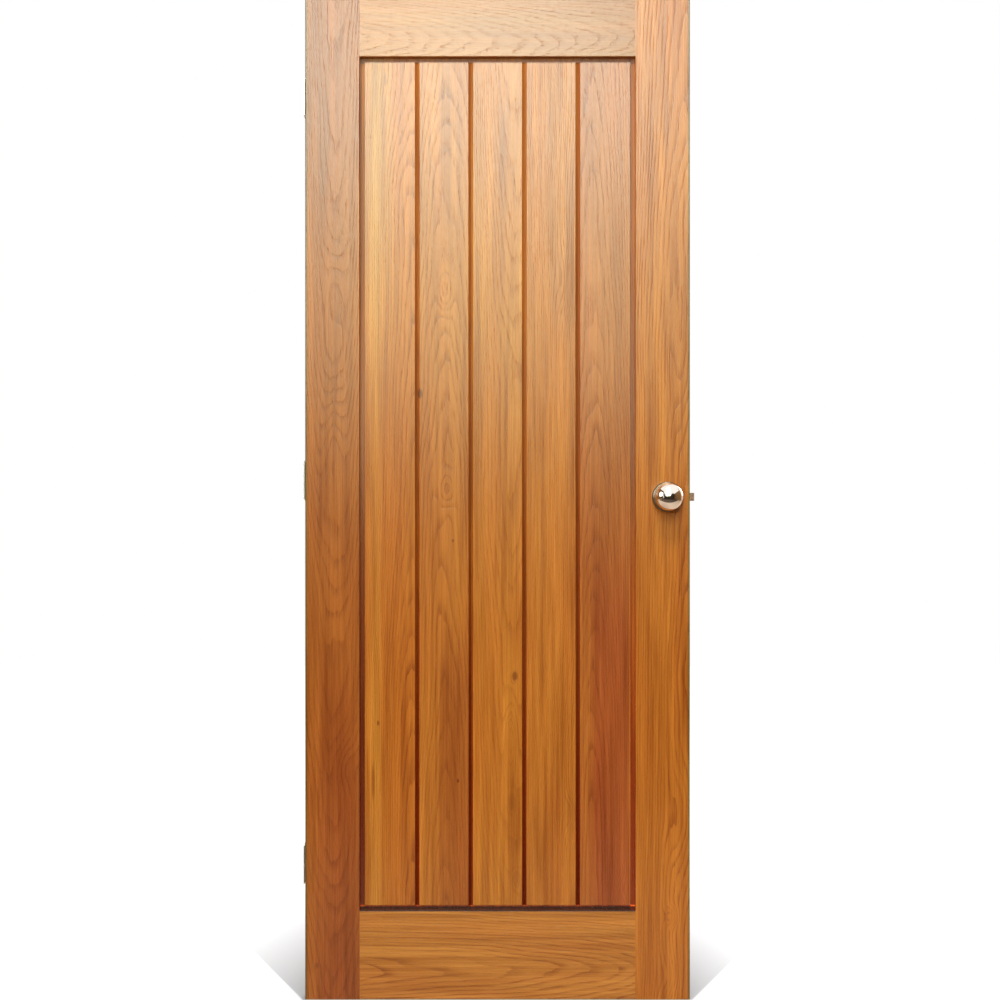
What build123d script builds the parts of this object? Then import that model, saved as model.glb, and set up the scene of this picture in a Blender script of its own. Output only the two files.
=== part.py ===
"""Boarded oak door, hung on three butt hinges, with a tubular latch and round knobs.

Frame: X to the right seen from the front, front face towards -Y, Z up, millimetres.
Origin: middle of the leaf's bottom edge, at half its thickness.
The hinge side is at -X with the knuckles at the back, so the door swings away to +Y.
"""

import os
from math import cos, radians, sin

from build123d import *

# Leaf
leaf_width = 762.0
leaf_height = 1981.0
leaf_thickness = 35.0
stile_width = 108.0
top_rail_height = 114.0
bottom_rail_height = 175.0
arris = 1.2

# Boards and the groove that holds them
board_count = 5
board_pitch = 106.3
board_thickness = 18.0
vee_depth = 4.6
board_gap = 0.6
edge_gap = 9.5
edge_tongue = 8.0
groove_depth = 12.0
top_play = 2.0
side_play = 2.0
tongue_thickness = 5.0
tongue_length = 7.0
tongue_play = 0.1
slot_room = 1.0

# Dowels in the frame joints
dowel_diameter = 14.0
dowel_length = 120.0
dowel_chamfer = 1.5
glue_line = 0.1
top_dowel_heights = (30.0, 84.0)
bottom_dowel_heights = (32.0, 87.5, 143.0)

# Butt hinges
hinge_height = 76.0
hinge_leaf_width = 25.5
hinge_leaf_thickness = 2.0
hinge_joint_gap = 3.0
knuckle_radius = 4.5
knuckle_count = 5
knuckle_clearance = 0.15
knuckle_room = 0.4
knuckle_standoff = 0.3
pin_radius = 2.5
pin_play = 0.05
pin_tip_radius = 3.9
pin_tip_height = 2.4
pin_tip_fillet = 1.4
hinge_hole_radius = 2.1
hinge_sink_radius = 3.7
hinge_screw_spacing = 27.0
door_screw_inset = 6.5
lining_hole_inset = 12.5
hinge_bed_depth = 2.0
hinge_below_top = 150.0
hinge_above_foot = 225.0

# Wood screws: shank radius, head radius and length
hinge_screw = (1.9, 3.6, 26.0)
faceplate_screw = (1.7, 3.2, 18.0)
rose_screw = (1.7, 3.2, 17.0)
screw_play = 0.05
screw_point = 0.5
screw_sunk = 0.1
rose_screw_sunk = 0.3
head_room = 1.0
cross_width = 0.9
cross_depth = 0.9
cross_reach = 1.1

# Tubular latch
knob_height = 995.0
backset = 45.0
latch_depth = 64.0
case_radius = 12.8
case_half_thickness = 6.3
case_wall = 1.0
tube_length = 28.5
latch_bore_radius = 13.0
latch_bore_room = 0.3
faceplate_height = 58.0
faceplate_width = 25.0
faceplate_thickness = 2.5
faceplate_corner = 3.0
faceplate_play = 0.1
faceplate_screw_spacing = 44.0
bolt_half_height = 8.0
bolt_half_width = 5.6
bolt_throw = 11.0
bolt_guide_play = 0.15
bolt_head_length = 18.0
bolt_flat_nose = 1.6
bolt_lead = 0.4
bolt_nose_round = (0.8, 0.6, 0.4)
fork_inner = 4.0
fork_outer = 5.0
fork_half_height = 10.4
fork_window_half = 7.6
fork_bridge = 3.0
fork_lap = 2.0
pad_low = 8.8
pad_thickness = 3.0
spring_radius = 3.05
spring_wire = 0.9
spring_turns = 6
spring_bore_radius = 4.2
spring_bore_depth = 8.0
seat_thickness = 1.2
seat_half_width = 3.6
seat_gap = 0.8
seat_grip = 0.3
spigot_length = 2.0
cam_arm_radius = 10.1
cam_tip_radius = 1.2
cam_half_thickness = 3.3
cam_lean = 32.5
cam_free_play = 0.3
follower_radius = 6.9
follower_play = 0.05

# Spindle, knobs and roses
spindle_size = 8.0
spindle_clear_radius = 9.0
spindle_reach = 34.0
knob_radius = 27.0
knob_projection = 60.0
knob_middle = 41.0
knob_back = 24.0
neck_radius = 9.93
neck_end = 0.4
neck_straight = 1.2
waist_radius = 8.6
waist_from_rose = 6.0
cove_flare = 1.2
cove_before_back = 3.5
back_slope = 0.35
shoulder_angle = 45.0
socket_play = 0.3
grub_radius = 2.5
grub_play = 0.05
grub_sunk = 0.6
key_radius = 1.3
key_depth = 1.8
grub_distance = 14.5
rose_radius = 30.0
rose_height = 9.7
rose_wall = 1.2
rose_edge_radius = 3.4
rose_hole_radius = 10.6
rose_plate_radius = 25.0
rose_plate_thickness = 5.5
rose_boss_radius = 13.0
rose_bore_radius = 10.0
rose_screw_offset_x = 9.5
rose_screw_offset_z = 16.5

# Cutters run past the faces that they cut by this much
past = 1.0

# Worked out from the sizes above
half_width = leaf_width / 2
half_thickness = leaf_thickness / 2
half_board = board_thickness / 2
opening_half = half_width - stile_width
opening_bottom = bottom_rail_height
opening_top = leaf_height - top_rail_height
groove_bottom = opening_bottom - groove_depth
groove_top = opening_top + groove_depth
top_hinge = leaf_height - hinge_below_top - hinge_height / 2
bottom_hinge = hinge_above_foot + hinge_height / 2
hinge_heights = {"top": top_hinge, "middle": (top_hinge + bottom_hinge) / 2, "bottom": bottom_hinge}
hinge_axis_x = -half_width - hinge_joint_gap / 2
hinge_axis_y = half_thickness + knuckle_radius + knuckle_standoff
spindle_x = half_width - backset
latch_start = half_width - latch_depth
faceplate_back = half_width - faceplate_thickness
case_inner_radius = case_radius - case_wall
case_inner_half = case_half_thickness - case_wall
flat_case_end = faceplate_back - tube_length
seat_x = flat_case_end - seat_gap
bolt_back = half_width - bolt_head_length


def block(x0, x1, y0, y1, z0, z1):
    """Rectangular block between two corners."""
    size = Vector(x1 - x0, y1 - y0, z1 - z0)
    middle = Vector((x0 + x1) / 2, (y0 + y1) / 2, (z0 + z1) / 2)
    return Pos(*middle) * Box(*size)


def rod_x(radius, x0, x1, y=0.0, z=0.0):
    """Round rod along X."""
    return Pos((x0 + x1) / 2, y, z) * Rot(0, 90, 0) * Cylinder(radius, x1 - x0)


def rod_y(radius, y0, y1, x=0.0, z=0.0):
    """Round rod along Y."""
    return Pos(x, (y0 + y1) / 2, z) * Rot(90, 0, 0) * Cylinder(radius, y1 - y0)


def rod_z(radius, z0, z1, x=0.0, y=0.0):
    """Round rod along Z."""
    return Pos(x, y, (z0 + z1) / 2) * Cylinder(radius, z1 - z0)


def unique_points(points):
    """The points in order, without repeats."""
    kept = []
    for point in points:
        if point not in kept:
            kept.append(point)
    return kept


def arris_cutter(x, y, z0, z1):
    """Cutter that takes the arris off an upright edge."""
    side = arris * 2**0.5
    return Pos(x, y, (z0 + z1) / 2) * Rot(0, 0, 45) * Box(side, side, z1 - z0)


def stile(side):
    """Stile with its panel groove; side is -1 at the hinges and 1 at the lock."""
    outer, inner = side * half_width, side * opening_half
    blank = Pos((outer + inner) / 2, 0) * Rectangle(stile_width, leaf_thickness)
    outer_corners = blank.vertices().sort_by(lambda corner: corner.X * side)[-2:]
    body = extrude(chamfer(outer_corners, arris), leaf_height)
    groove_x = sorted((inner, inner + side * groove_depth))
    body -= block(*groove_x, -edge_tongue / 2, edge_tongue / 2, 0, leaf_height)
    for y in (-half_thickness, half_thickness):
        body -= arris_cutter(inner, y, opening_bottom, opening_top)
    for height in dowel_heights():
        body -= rod_x(*dowel_hole(side), z=height)
    return body


def dowel_heights():
    """Heights of all the dowels above the bottom edge."""
    high = tuple(opening_top + height for height in top_dowel_heights)
    return bottom_dowel_heights + high


def dowel_hole(side):
    """Radius and X range of a dowel hole that runs across one frame joint."""
    ends = sorted((side * (opening_half - dowel_length / 2), side * (opening_half + dowel_length / 2)))
    return dowel_diameter / 2 + glue_line, ends[0], ends[1]


def dowels():
    """Beech dowels across the four frame joints, with chamfered ends that stop on the holes' ends."""
    pegs = []
    for side in (-1, 1):
        _, x0, x1 = dowel_hole(side)
        for height in dowel_heights():
            peg = rod_x(dowel_diameter / 2, x0, x1, z=height)
            pegs.append(chamfer(peg.edges().filter_by(GeomType.CIRCLE), dowel_chamfer))
    return Compound(pegs)


def rail(z0, z1, groove_from, groove_to):
    """Rail between the stiles, with a stub tongue at each end and the panel groove along one edge."""
    blank = Rectangle(leaf_thickness, z1 - z0)
    section = Pos(0, (z0 + z1) / 2) * chamfer(blank.vertices(), arris)
    body = Pos(-opening_half, 0, 0) * extrude(Plane.YZ * section, 2 * opening_half)
    for side in (-1, 1):
        tongue_x = sorted((side * opening_half, side * (opening_half + groove_depth)))
        body += block(*tongue_x, -edge_tongue / 2, edge_tongue / 2, z0, z1)
    reach = opening_half + groove_depth
    body -= block(-reach, reach, -edge_tongue / 2, edge_tongue / 2, groove_from, groove_to)
    for side in (-1, 1):
        for height in dowel_heights():
            if z0 < height < z1:
                body -= rod_x(*dowel_hole(side), z=height)
    return body


def board_edges(index):
    """X of a board's left and right face edge at the bottom of its joints."""
    first = -board_count * board_pitch / 2
    left = first + index * board_pitch + board_gap / 2
    right = first + (index + 1) * board_pitch - board_gap / 2
    if index == 0:
        left = -opening_half + edge_gap
    if index == board_count - 1:
        right = opening_half - edge_gap
    return left, right


def board_section(index):
    """Board section: V-jointed on both faces, groove at its left edge, tongue at its right edge."""
    left, right = board_edges(index)
    half = half_board
    shoulder = half - vee_depth
    frame_edge = opening_half + groove_depth - side_play
    outline = []
    if index == 0:
        outline += [(left, half), (left, edge_tongue / 2), (-frame_edge, edge_tongue / 2)]
        outline += [(-frame_edge, -edge_tongue / 2), (left, -edge_tongue / 2), (left, -half)]
    else:
        deep = left + tongue_length + slot_room
        slot = tongue_thickness / 2 + tongue_play
        outline += [(left + vee_depth, half), (left, shoulder), (left, slot), (deep, slot)]
        outline += [(deep, -slot), (left, -slot), (left, -shoulder), (left + vee_depth, -half)]
    if index == board_count - 1:
        outline += [(right, -half), (right, -edge_tongue / 2), (frame_edge, -edge_tongue / 2)]
        outline += [(frame_edge, edge_tongue / 2), (right, edge_tongue / 2), (right, half)]
    else:
        tip = right + board_gap + tongue_length
        slim = tongue_thickness / 2
        outline += [(right - vee_depth, -half), (right, -shoulder), (right, -slim), (tip, -slim)]
        outline += [(tip, slim), (right, slim), (right, shoulder), (right - vee_depth, half)]
    return make_face(Polyline(*outline, close=True))


def board(index):
    """Upright board that stands in the bottom rail's groove, its ends rebated to the edge tongue."""
    top = groove_top - top_play
    body = Pos(0, 0, groove_bottom) * extrude(board_section(index), top - groove_bottom)
    reach = half_width
    for z0, z1 in ((groove_bottom, opening_bottom + edge_gap), (opening_top - edge_gap, top)):
        body -= block(-reach, reach, edge_tongue / 2, half_board, z0, z1)
        body -= block(-reach, reach, -half_board, -edge_tongue / 2, z0, z1)
    return body


def screw_profile(sizes, play=0.0, room=0.0):
    """Half section of a countersunk wood screw, head face at height 0 and the point below it."""
    shank, head, length = sizes
    points = [
        (0, room),
        (head + play, room),
        (head + play, 0),
        (shank + play, shank - head),
        (shank + play, 2 * shank - length),
        (screw_point + play, -length),
        (0, -length),
    ]
    return Plane.XZ * make_face(Polyline(*unique_points(points), close=True))


def wood_screw(sizes):
    """Countersunk screw with a cross recess, head up, face at the origin."""
    body = revolve(screw_profile(sizes), Axis.Z)
    length = sizes[1] * cross_reach
    body -= Box(length, cross_width, 2 * cross_depth)
    body -= Box(cross_width, length, 2 * cross_depth)
    return body


def screw_hole(sizes):
    """Cutter for a wood screw's seat: the screw's own form with a little play at its sides."""
    return revolve(screw_profile(sizes, screw_play, head_room), Axis.Z)


def hinge_screw_places(height):
    """Heights of the three screws in a hinge leaf."""
    return [height + step * hinge_screw_spacing for step in (-1, 0, 1)]


def hinge_hole_y(side):
    """Y of the holes in a hinge leaf: the two leaves' rows are apart, so that the screw heads pass."""
    inset = door_screw_inset if side > 0 else lining_hole_inset
    return hinge_axis_y - hinge_leaf_width + inset


def hinge_leaf(height, side):
    """Hinge leaf with its knuckles; side 1 is let into the door's edge, -1 lies on the lining."""
    z0, z1 = height - hinge_height / 2, height + hinge_height / 2
    face = hinge_axis_x + side * hinge_joint_gap / 2
    plate_x = sorted((face, face + side * hinge_leaf_thickness))
    plate = block(*plate_x, hinge_axis_y - hinge_leaf_width, hinge_axis_y, z0, z1)
    step = hinge_height / knuckle_count
    own = [index for index in range(knuckle_count) if (index % 2 == 1) == (side == 1)]
    other = [index for index in range(knuckle_count) if index not in own]
    body = plate
    for index in own:
        body += rod_z(knuckle_radius, z0 + index * step, z0 + (index + 1) * step, hinge_axis_x, hinge_axis_y)
    room = knuckle_radius + knuckle_room
    for index in other:
        low = z0 + index * step - knuckle_clearance
        high = z0 + (index + 1) * step + knuckle_clearance
        body -= block(
            hinge_axis_x - room, hinge_axis_x + room, hinge_axis_y - room, hinge_axis_y + room, low, high
        )
    body -= rod_z(pin_radius + pin_play, z0 - past, z1 + past, hinge_axis_x, hinge_axis_y)
    for z in hinge_screw_places(height):
        body -= rod_x(hinge_hole_radius, plate_x[0] - past, plate_x[1] + past, hinge_hole_y(side), z)
        sink = hinge_sink_radius - hinge_hole_radius
        cone = Cone(hinge_hole_radius, hinge_sink_radius, sink)
        turned = Rot(0, -90 * side, 0) * cone
        body -= Pos(face + side * sink / 2, hinge_hole_y(side), z) * turned
    return body


def hinge_bed(height):
    """Cutter for a hinge leaf's bed in the edge of the hinge stile."""
    z0, z1 = height - hinge_height / 2, height + hinge_height / 2
    y0 = hinge_axis_y - hinge_leaf_width
    return block(-half_width - past, -half_width + hinge_bed_depth, y0, half_thickness + past, z0, z1)


def hinge_pin(height):
    """Hinge pin with a button tip at each end, each tip seated on the outer knuckle."""
    z0, z1 = height - hinge_height / 2, height + hinge_height / 2
    body = rod_z(pin_radius, z0, z1, hinge_axis_x, hinge_axis_y)
    for end, way in ((z0, -1), (z1, 1)):
        outer = end + way * pin_tip_height
        tip = rod_z(pin_tip_radius, *sorted((end, outer)), hinge_axis_x, hinge_axis_y)
        rim = tip.edges().filter_by(GeomType.CIRCLE).sort_by(Axis.Z)[-1 if way > 0 else 0]
        body += fillet(rim, pin_tip_fillet)
    return body


def place_hinge_screws(shape):
    """A screw shape set at each of the nine places in the door-side hinge leaves."""
    placed = []
    face = -half_width + screw_sunk
    for height in hinge_heights.values():
        for z in hinge_screw_places(height):
            placed.append(Pos(face, hinge_hole_y(1), z) * Rot(0, -90, 0) * shape)
    return placed


def faceplate_screw_places():
    """Heights of the two faceplate screws."""
    return [knob_height + step * faceplate_screw_spacing / 2 for step in (-1, 1)]


def place_faceplate_screws(shape):
    """A screw shape set at both ends of the faceplate, head to the door's edge."""
    face = half_width - screw_sunk
    return [Pos(face, 0, z) * Rot(0, 90, 0) * shape for z in faceplate_screw_places()]


def rose_screw_places():
    """X and Z of the four screws in a rose plate."""
    offsets = [(sx, sz) for sx in (-1, 1) for sz in (-1, 1)]
    return [
        (spindle_x + sx * rose_screw_offset_x, knob_height + sz * rose_screw_offset_z)
        for sx, sz in offsets
    ]


def place_rose_screws(shape, sides=(-1, 1)):
    """A screw shape set at each place in the rose plates on the given sides."""
    placed = []
    face = half_thickness + rose_plate_thickness - rose_screw_sunk
    for side in sides:
        for x, z in rose_screw_places():
            placed.append(Pos(x, side * face, z) * Rot(-90 * side, 0, 0) * shape)
    return placed


def lock_stile():
    """Lock stile bored for the latch, the spindle and the screws, with the faceplate's bed."""
    body = stile(1)
    body -= rod_x(latch_bore_radius, latch_start - latch_bore_room, half_width + past, z=knob_height)
    reach = half_thickness + past
    body -= rod_y(spindle_clear_radius, -reach, reach, spindle_x, knob_height)
    body -= Pos(faceplate_back, 0, 0) * faceplate_outline(faceplate_play)
    for cutter in place_faceplate_screws(screw_hole(faceplate_screw)):
        body -= cutter
    for cutter in place_rose_screws(screw_hole(rose_screw)):
        body -= cutter
    return body


def hinge_stile():
    """Hinge stile with the beds of the three hinge leaves and their screw holes."""
    body = stile(-1)
    for height in hinge_heights.values():
        body -= hinge_bed(height)
    for cutter in place_hinge_screws(screw_hole(hinge_screw)):
        body -= cutter
    return body


def faceplate_outline(play):
    """Faceplate blank with rounded corners, back face at X 0, grown by the play all round."""
    flat = RectangleRounded(faceplate_width + 2 * play, faceplate_height + 2 * play, faceplate_corner)
    return Pos(0, 0, knob_height) * extrude(Plane.YZ * flat, faceplate_thickness + play)


def latch_faceplate():
    """Faceplate, flush with the door's edge, with the bolt's mouth and two countersunk holes."""
    body = Pos(faceplate_back, 0, 0) * faceplate_outline(0.0)
    body -= bolt_mouth()
    for cutter in place_faceplate_screws(screw_hole(faceplate_screw)):
        body -= cutter
    return body


def bolt_mouth():
    """Cutter for the mouth that guides the bolt's head."""
    half_w, half_h = bolt_half_width + bolt_guide_play, bolt_half_height + bolt_guide_play
    z = knob_height
    return block(faceplate_back - past, half_width + past, -half_w, half_w, z - half_h, z + half_h)


def tube_with_flats(radius, half, x0, x1):
    """Round bar along X whose two sides are flattened."""
    z = knob_height
    bar = rod_x(radius, x0, x1, z=z)
    return bar & block(x0, x1, -half, half, z - radius, z + radius)


def latch_case():
    """Latch case: a round tube behind the faceplate, pressed flat round the follower."""
    z = knob_height
    outer = tube_with_flats(case_radius, case_half_thickness, latch_start, flat_case_end)
    outer += rod_x(case_radius, flat_case_end - case_wall, faceplate_back, z=z)
    inner = tube_with_flats(case_inner_radius, case_inner_half, latch_start + case_wall, flat_case_end)
    inner += rod_x(case_inner_radius, flat_case_end, faceplate_back, z=z)
    body = outer - inner
    seat_back = seat_x - seat_thickness
    seat = rod_x(case_inner_radius + seat_grip, seat_back, seat_x, z=z)
    seat &= block(seat_back, seat_x, -seat_half_width, seat_half_width, z - case_radius, z + case_radius)
    spigot = rod_x(spring_radius - spring_wire, seat_back, seat_x + spigot_length, z=z)
    body += seat + spigot
    journal = follower_radius + follower_play
    body -= rod_y(journal, -case_radius, case_radius, spindle_x, z)
    return body


def bolt_nose_section():
    """Section of the bolt's head seen from above, bevelled on the side that meets the strike."""
    tip = half_width + bolt_throw
    back, low, high = bolt_nose_round
    outline = [
        (bolt_back, -bolt_half_width),
        (half_width + bolt_lead, -bolt_half_width),
        (tip - back, bolt_half_width - bolt_flat_nose - low),
        (tip, bolt_half_width - bolt_flat_nose + high),
        (tip, bolt_half_width),
        (bolt_back, bolt_half_width),
    ]
    return make_face(Polyline(*outline, close=True))


def pad_face():
    """X of the faces that the follower's arms push, at rest."""
    return spindle_x + cam_arm_radius * sin(radians(cam_lean)) - cam_tip_radius - cam_free_play


def latch_bolt():
    """Bolt: bevelled head with a spring bore, and a fork round the follower with four push pads."""
    z = knob_height
    head = Pos(0, 0, z - bolt_half_height) * extrude(bolt_nose_section(), 2 * bolt_half_height)
    head -= rod_x(spring_bore_radius, bolt_back - past, bolt_back + spring_bore_depth, z=z)
    body = head
    pad_back = pad_face() - pad_thickness
    window_end = bolt_back - fork_bridge
    low, high = z - fork_window_half, z + fork_window_half
    for side in (-1, 1):
        fork_y = sorted((side * fork_inner, side * fork_outer))
        fork = block(pad_back, bolt_back + fork_lap, *fork_y, z - fork_half_height, z + fork_half_height)
        fork -= block(pad_back - past, window_end, -fork_outer, fork_outer, low, high)
        body += fork
    for side in (-1, 1):
        pad_z = sorted((z + side * pad_low, z + side * fork_half_height))
        body += block(pad_back, pad_face(), -fork_inner, fork_inner, *pad_z)
    return body


def latch_spring():
    """Compression spring between the case's seat and the bottom of the bore in the bolt."""
    start, end = seat_x + spring_wire / 2, bolt_back + spring_bore_depth - spring_wire / 2
    pitch = (end - start) / spring_turns
    path = Helix(pitch=pitch, height=end - start, radius=spring_radius)
    wire_section = Plane(path @ 0, z_dir=path % 0) * Circle(spring_wire / 2)
    coil = sweep(wire_section, path=path)
    return Pos(start, 0, knob_height) * Rot(0, 90, 0) * coil


def latch_follower():
    """Follower: square-bored hub with two arms that lean towards the door's edge."""
    body = rod_y(follower_radius, -case_half_thickness, case_half_thickness)
    for lean in (cam_lean, 180 - cam_lean):
        arm = Pos(0, 0, cam_arm_radius / 2) * Box(2 * cam_tip_radius, 2 * cam_half_thickness, cam_arm_radius)
        arm += rod_y(cam_tip_radius, -cam_half_thickness, cam_half_thickness, 0, cam_arm_radius)
        body += Rot(0, lean, 0) * arm
    body -= Box(spindle_size, 4 * case_half_thickness, spindle_size)
    return Pos(spindle_x, 0, knob_height) * body


def spindle():
    """Square spindle through both knobs and the follower."""
    reach = half_thickness + spindle_reach
    z, half = knob_height, spindle_size / 2
    return block(spindle_x - half, spindle_x + half, -reach, reach, z - half, z + half)


def knob_profile():
    """Half section of a turned knob, from its neck out to the middle of its domed face."""
    cove_start = (neck_radius, rose_height + neck_straight)
    cove_end = (neck_radius + cove_flare, knob_back - cove_before_back)
    belly = (knob_radius, knob_middle)
    turn = radians(shoulder_angle)
    shoulder = (knob_radius * cos(turn), knob_middle + (knob_projection - knob_middle) * sin(turn))
    crown = (0, knob_projection)
    outline = [
        Line((0, neck_end), (neck_radius, neck_end)),
        Line((neck_radius, neck_end), cove_start),
        ThreePointArc(cove_start, (waist_radius, rose_height + waist_from_rose), cove_end),
        Spline(cove_end, belly, tangents=((1, back_slope), (0, 1))),
        Spline(belly, shoulder, crown, tangents=((0, 1), (-1, 0))),
        Line(crown, (0, neck_end)),
    ]
    return make_face(outline)


def knob(side):
    """Turned knob on one face of the door, with its square socket and grub screw hole."""
    half = spindle_size / 2
    body = revolve(knob_profile(), Axis.Y)
    body -= block(-half, half, -past, spindle_reach + socket_play, -half, half)
    body -= rod_z(grub_radius + grub_play, -neck_radius - past, -half + past, y=grub_distance)
    turned = body if side > 0 else Rot(0, 0, 180) * body
    return Pos(spindle_x, side * half_thickness, knob_height) * turned


def grub_screws():
    """Grub screws through the knob necks, each tight on the spindle's lower flat."""
    screws = []
    for side in (-1, 1):
        low = knob_height - waist_radius + grub_sunk
        body = rod_z(grub_radius, low, knob_height - spindle_size / 2)
        body -= Pos(0, 0, low) * extrude(RegularPolygon(key_radius, 6), key_depth)
        screws.append(Pos(spindle_x, side * (half_thickness + grub_distance), 0) * body)
    return Compound(screws)


def rose(side):
    """Pressed rose cover: a shallow cup with a rolled rim and a hole for the knob's neck."""
    cup = rod_y(rose_radius, 0, rose_height)
    rim = cup.edges().filter_by(GeomType.CIRCLE).sort_by(Axis.Y)[-1]
    cup = fillet(rim, rose_edge_radius)
    hollow = rod_y(rose_radius - rose_wall, -past, rose_height - rose_wall)
    inner = hollow.edges().filter_by(GeomType.CIRCLE).sort_by(Axis.Y)[-1]
    cup -= fillet(inner, rose_edge_radius - rose_wall)
    cup -= rod_y(rose_hole_radius, -past, rose_height + past)
    turned = cup if side > 0 else Rot(0, 0, 180) * cup
    return Pos(spindle_x, side * half_thickness, knob_height) * turned


def rose_plate(side):
    """Fixing plate under a rose, with the bearing boss for the neck and four screw holes."""
    body = rod_y(rose_plate_radius, 0, rose_plate_thickness)
    body += rod_y(rose_boss_radius, 0, rose_height - rose_wall)
    body -= rod_y(rose_bore_radius, -past, rose_height)
    turned = body if side > 0 else Rot(0, 0, 180) * body
    placed = Pos(spindle_x, side * half_thickness, knob_height) * turned
    for cutter in place_rose_screws(screw_hole(rose_screw), (side,)):
        placed -= cutter
    return placed


def build_nodes():
    """All pieces by node name."""
    nodes = {
        "hinge_stile": hinge_stile(),
        "lock_stile": lock_stile(),
        "top_rail": rail(opening_top, leaf_height, opening_top, groove_top),
        "bottom_rail": rail(0.0, opening_bottom, groove_bottom, opening_bottom),
        "dowels": dowels(),
    }
    for index in range(board_count):
        nodes[f"board_{index + 1}"] = board(index)
    for place, height in hinge_heights.items():
        nodes[f"hinge_{place}_door_leaf"] = hinge_leaf(height, 1)
        nodes[f"hinge_{place}_frame_leaf"] = hinge_leaf(height, -1)
        nodes[f"hinge_{place}_pin"] = hinge_pin(height)
    nodes["hinge_screws"] = Compound(place_hinge_screws(wood_screw(hinge_screw)))
    nodes["latch_case"] = latch_case()
    nodes["latch_faceplate"] = latch_faceplate()
    nodes["latch_bolt"] = latch_bolt()
    nodes["latch_spring"] = latch_spring()
    nodes["latch_follower"] = latch_follower()
    nodes["faceplate_screws"] = Compound(place_faceplate_screws(wood_screw(faceplate_screw)))
    nodes["spindle"] = spindle()
    for side, face in ((-1, "front"), (1, "rear")):
        nodes[f"{face}_knob"] = knob(side)
        nodes[f"{face}_rose"] = rose(side)
        nodes[f"{face}_rose_plate"] = rose_plate(side)
    nodes["rose_screws"] = Compound(place_rose_screws(wood_screw(rose_screw)))
    nodes["grub_screws"] = grub_screws()
    return nodes


def write_nodes(nodes):
    """Write each node to its own file."""
    os.makedirs("parts", exist_ok=True)
    for name, shape in nodes.items():
        export_step(shape, f"parts/{name}.step")


write_nodes(build_nodes())
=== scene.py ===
"""Oak door leaf with V-jointed boards and a polished knob, dressed for a studio photograph.

Sizes are metres in the part's own frame: X to the right, the front towards -Y, Z up.
"""

import logging
import math
from collections.abc import Sequence
from dataclasses import dataclass, field, replace
from enum import Enum

import bmesh
import bpy
import numpy as np
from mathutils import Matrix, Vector


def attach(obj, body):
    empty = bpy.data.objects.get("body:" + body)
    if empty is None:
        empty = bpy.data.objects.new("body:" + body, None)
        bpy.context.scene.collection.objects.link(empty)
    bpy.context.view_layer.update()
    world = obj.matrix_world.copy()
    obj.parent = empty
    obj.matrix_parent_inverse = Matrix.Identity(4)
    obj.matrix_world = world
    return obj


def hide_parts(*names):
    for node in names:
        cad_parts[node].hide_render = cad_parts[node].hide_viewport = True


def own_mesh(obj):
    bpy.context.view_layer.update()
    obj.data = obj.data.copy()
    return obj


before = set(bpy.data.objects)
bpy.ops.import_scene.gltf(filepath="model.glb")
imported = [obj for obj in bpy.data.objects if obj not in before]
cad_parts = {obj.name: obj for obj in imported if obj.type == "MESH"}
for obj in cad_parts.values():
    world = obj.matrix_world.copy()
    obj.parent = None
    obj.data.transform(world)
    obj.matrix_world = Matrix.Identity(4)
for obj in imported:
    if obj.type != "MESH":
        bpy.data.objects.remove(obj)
report = logging.getLogger("oak_door")

Colour = tuple[float, float, float]
Point = tuple[float, float, float]
Socket = bpy.types.NodeSocket
Value = float | Colour | Socket


class Grain(Enum):
    """Which way the fibres of a piece run."""

    UPRIGHT = "Z"
    LEVEL = "X"


class Face(Enum):
    """The two faces of the door, by the direction that each looks along Y."""

    FRONT = -1
    REAR = 1


def put(name: str, data: bpy.types.ID) -> bpy.types.Object:
    """A new object in the scene.

    Args:
        name: the object's name.
        data: the mesh, lamp or camera that it shows.

    Returns:
        The object.
    """
    thing = bpy.data.objects.new(name, data)
    bpy.context.scene.collection.objects.link(thing)
    return thing


# Shader bench


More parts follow.
